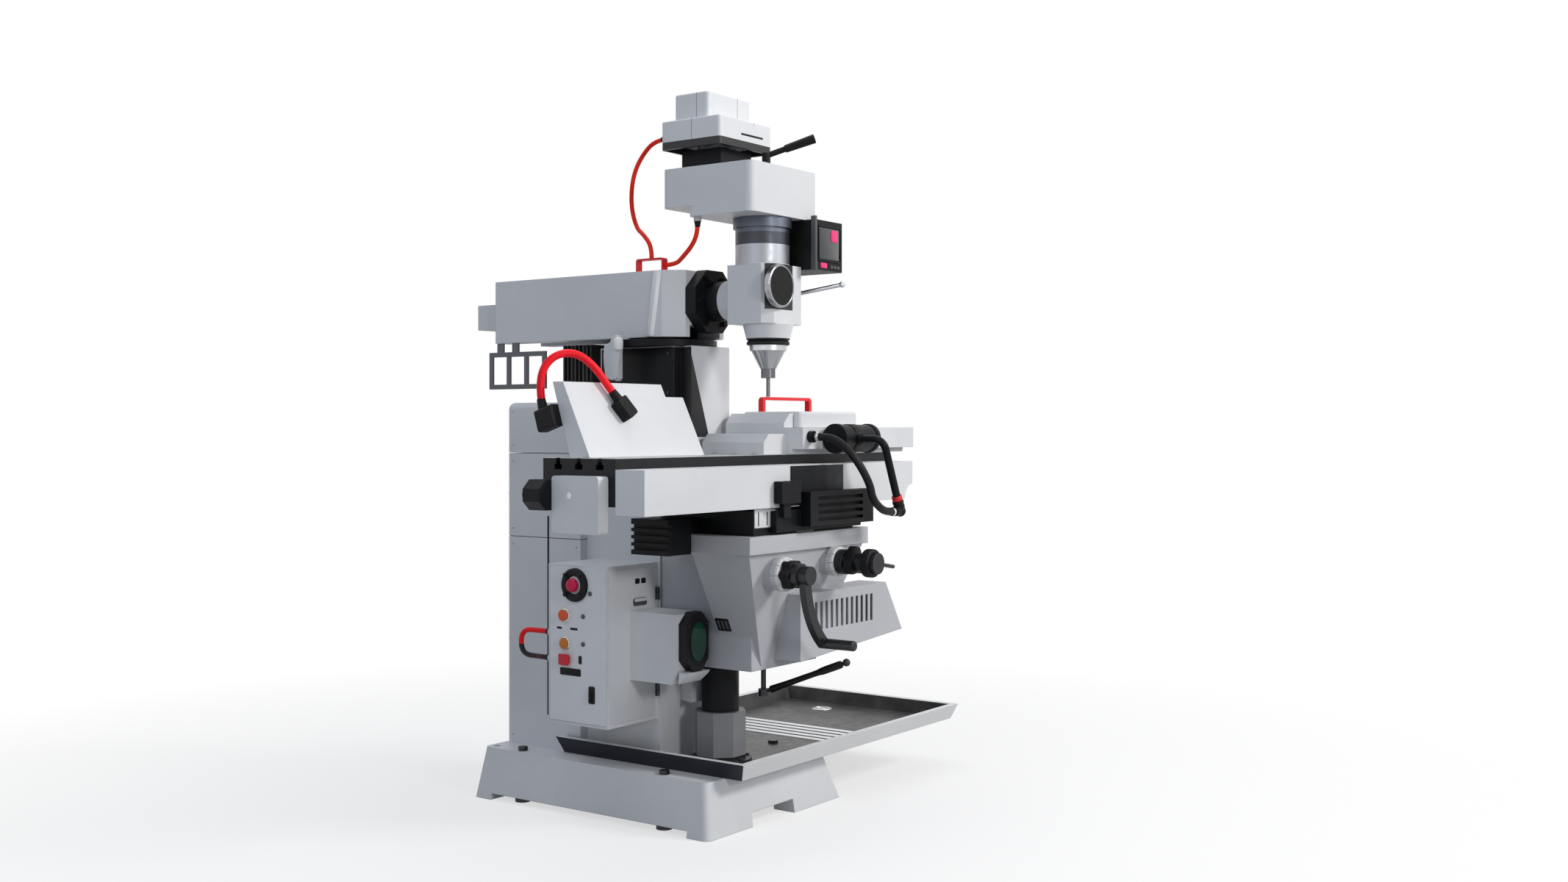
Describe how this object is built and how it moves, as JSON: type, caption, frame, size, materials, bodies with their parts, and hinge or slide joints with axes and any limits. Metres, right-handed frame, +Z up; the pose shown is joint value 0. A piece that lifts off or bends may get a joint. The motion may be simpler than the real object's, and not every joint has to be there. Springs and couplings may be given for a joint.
{
  "type": "milling machine",
  "caption": "Knee-type turret milling machine with a sliding ram, tilting belt-driven head, T-slotted table on saddle and knee, column cabinet, control box and chip tray.",
  "frame": {"origin": "on the floor in the middle of the four anchor holes, under the column's middle plane", "axes": "+X along the table to the right, -Y to the front where the operator stands, +Z up"},
  "size_m": [1.8766, 1.5016, 2.228],
  "materials": {
    "light_paint": "satin light grey enamel",
    "black_paint": "satin black enamel",
    "bright_steel": "ground steel",
    "table_steel": "ground cast iron",
    "dark_steel": "blackened steel",
    "chrome": "polished",
    "aluminium": "turned",
    "red_paint": "gloss red",
    "red_rubber": "smooth red sheath",
    "black_rubber": "matt",
    "black_plastic": "matt",
    "white_plastic": "gloss",
    "red_plastic": "gloss",
    "orange_plastic": "gloss",
    "green_lens": "tinted"
  },
  "bodies": {
    "column": {"base_casting": "light_paint", "levelling_feet": "dark_steel", "chip_tray": "light_paint", "column_casting": "light_paint", "rear_cabinet": "light_paint", "heat_sink": "black_paint", "screw_pedestal": "light_paint", "control_cabinet": "light_paint", "control_panel": "light_paint", "lubricator_box": "light_paint", "lubricator_bezel": "black_plastic", "sight_lens": "green_lens", "cabinet_cable": "red_rubber"},
    "e_stop": {"e_stop": "red_plastic"},
    "start_button": {"start_button": "orange_plastic"},
    "stop_button": {"stop_button": "red_plastic"},
    "knee": {"knee_casting": "light_paint", "screw_cover": "black_paint", "drive_box": "light_paint", "crank_dials": "white_plastic"},
    "elevating_screw": {"elevating_screw": "bright_steel"},
    "elevating_crank": {"elevating_crank": "dark_steel"},
    "cross_crank": {"cross_crank": "dark_steel"},
    "knee_clamp": {"knee_clamp_lever": "dark_steel"},
    "saddle": {"saddle_casting": "black_paint", "saddle_drives": "black_paint"},
    "table": {"table": "table_steel", "front_apron": "light_paint", "end_bracket": "light_paint", "feed_motors": "black_paint", "console": "light_paint", "console_plugs": "black_plastic", "console_cable": "red_rubber", "fixture_block": "light_paint", "feed_hose": "black_rubber"},
    "table_screw": {"table_screw": "bright_steel"},
    "lid": {"fixture_lid": "light_paint", "lid_handle": "red_paint"},
    "turret": {"turret_base": "black_paint"},
    "ram_handle": {"ram_handle": "light_paint"},
    "ram": {"ram_casting": "light_paint", "adapter_flange": "black_paint", "cable_bracket": "red_paint", "rear_frame": "dark_steel"},
    "head": {"head_casting": "light_paint", "belt_housing": "light_paint", "motor_base": "black_paint", "motor_cover": "light_paint", "display_box": "black_plastic", "drive_belt": "black_rubber", "motor_cable": "red_rubber", "housing_cable": "red_rubber"},
    "quill": {"quill": "bright_steel"},
    "spindle": {"spindle": "chrome", "collet": "bright_steel"},
    "spindle_pulley": {"spindle_pulley": "aluminium"},
    "rotor": {"motor_rotor": "bright_steel"},
    "quill_lever": {"quill_lever": "dark_steel"},
    "feed_wheel": {"feed_wheel": "black_plastic"},
    "brake_lever": {"brake_lever": "dark_steel"}
  },
  "joints": [
    {"name": "elevating_crank", "type": "hinge", "parent": "knee", "child": "elevating_crank", "pos_m": [-0.165, -0.65, 0.77], "axis": [0, 1, 0], "range_deg": [-7205, 10085]},
    {"name": "knee_lift", "type": "slide", "parent": "column", "child": "knee", "axis": [0, 0, -1], "range_m": [-0.1, 0.14]},
    {"name": "elevating_screw_spin", "type": "hinge", "parent": "knee", "child": "elevating_screw", "pos_m": [-0.03, -0.3, 0.5], "axis": [0, 0, 1], "range_deg": [-7205, 10085]},
    {"name": "cross_crank", "type": "hinge", "parent": "knee", "child": "cross_crank", "pos_m": [0.115, -0.65, 0.788], "axis": [0, 1, 0], "range_deg": [-5, 14405]},
    {"name": "saddle_cross", "type": "slide", "parent": "knee", "child": "saddle", "axis": [0, -1, 0], "range_m": [0, 0.2]},
    {"name": "table_screw_spin", "type": "hinge", "parent": "table", "child": "table_screw", "pos_m": [0, -0.387, 1.015], "axis": [1, 0, 0], "range_deg": [-21605, 21605]},
    {"name": "table_long", "type": "slide", "parent": "saddle", "child": "table", "axis": [-1, 0, 0], "range_m": [-0.3, 0.3]},
    {"name": "fixture_lid", "type": "hinge", "parent": "table", "child": "lid", "pos_m": [0.25, -0.284, 1.2043], "axis": [-1, 0, 0], "range_deg": [0, 60]},
    {"name": "turret_swivel", "type": "hinge", "parent": "column", "child": "turret", "pos_m": [0, -0.04, 1.45], "axis": [0, 0, -1], "range_deg": [-30, 30]},
    {"name": "ram_handle", "type": "hinge", "parent": "turret", "child": "ram_handle", "pos_m": [-0.2, -0.015, 1.472], "axis": [-1, 0, 0], "range_deg": [-1229.77, 329.4]},
    {"name": "ram_slide", "type": "slide", "parent": "turret", "child": "ram", "axis": [0, 1, 0], "range_m": [-0.3, 0.08]},
    {"name": "head_tilt", "type": "hinge", "parent": "ram", "child": "head", "pos_m": [0, -0.34, 1.59], "axis": [0, 1, 0], "range_deg": [-45, 45], "deforming": ["motor_cable", "housing_cable"]},
    {"name": "quill_lever", "type": "hinge", "parent": "head", "child": "quill_lever", "pos_m": [0.1, -0.3967, 1.6], "axis": [1, 0, 0], "range_deg": [0, 260.44]},
    {"name": "quill_feed", "type": "slide", "parent": "head", "child": "quill", "axis": [0, 0, -1], "range_m": [0, 0.1]},
    {"name": "motor_spin", "type": "hinge", "parent": "head", "child": "rotor", "pos_m": [0, -0.262, 2], "axis": [0, 0, 1], "continuous": true},
    {"name": "spindle_pulley_spin", "type": "hinge", "parent": "head", "child": "spindle_pulley", "pos_m": [0, -0.462, 1.8], "axis": [0, 0, 1], "continuous": true},
    {"name": "spindle_spin", "type": "hinge", "parent": "quill", "child": "spindle", "pos_m": [0, -0.462, 1.5], "axis": [0, 0, 1], "continuous": true},
    {"name": "feed_wheel_spin", "type": "hinge", "parent": "head", "child": "feed_wheel", "pos_m": [-0.044, -0.535, 1.622], "axis": [0, 1, 0], "continuous": true},
    {"name": "brake_lever", "type": "hinge", "parent": "head", "child": "brake_lever", "pos_m": [0.02, -0.44, 1.985], "axis": [0, 0, 1], "range_deg": [-25, 25]},
    {"name": "knee_clamp", "type": "hinge", "parent": "knee", "child": "knee_clamp", "pos_m": [0.06, -0.4, 0.475], "axis": [0, 0, 1], "range_deg": [-15, 15]},
    {"name": "e_stop_press", "type": "slide", "parent": "column", "child": "e_stop", "axis": [1, 0, 0], "range_m": [0, 0.006], "stiffness_N_per_m": 600},
    {"name": "start_press", "type": "slide", "parent": "column", "child": "start_button", "axis": [1, 0, 0], "range_m": [0, 0.004], "stiffness_N_per_m": 400},
    {"name": "stop_press", "type": "slide", "parent": "column", "child": "stop_button", "axis": [1, 0, 0], "range_m": [0, 0.004], "stiffness_N_per_m": 400}
  ],
  "couplings": [
    {"joint": "elevating_crank", "follows": "knee_lift", "rad_per_m": 1256.6},
    {"joint": "elevating_screw_spin", "follows": "knee_lift", "rad_per_m": 1256.6},
    {"joint": "cross_crank", "follows": "saddle_cross", "rad_per_m": 1256.6},
    {"joint": "table_screw_spin", "follows": "table_long", "rad_per_m": 1256.6},
    {"joint": "ram_handle", "follows": "ram_slide", "rad_per_m": 71.429},
    {"joint": "quill_feed", "follows": "quill_lever", "m_per_rad": 0.022},
    {"joint": "spindle_pulley_spin", "follows": "motor_spin", "ratio": 0.65217},
    {"joint": "spindle_spin", "follows": "motor_spin", "ratio": 0.65217}
  ]
}
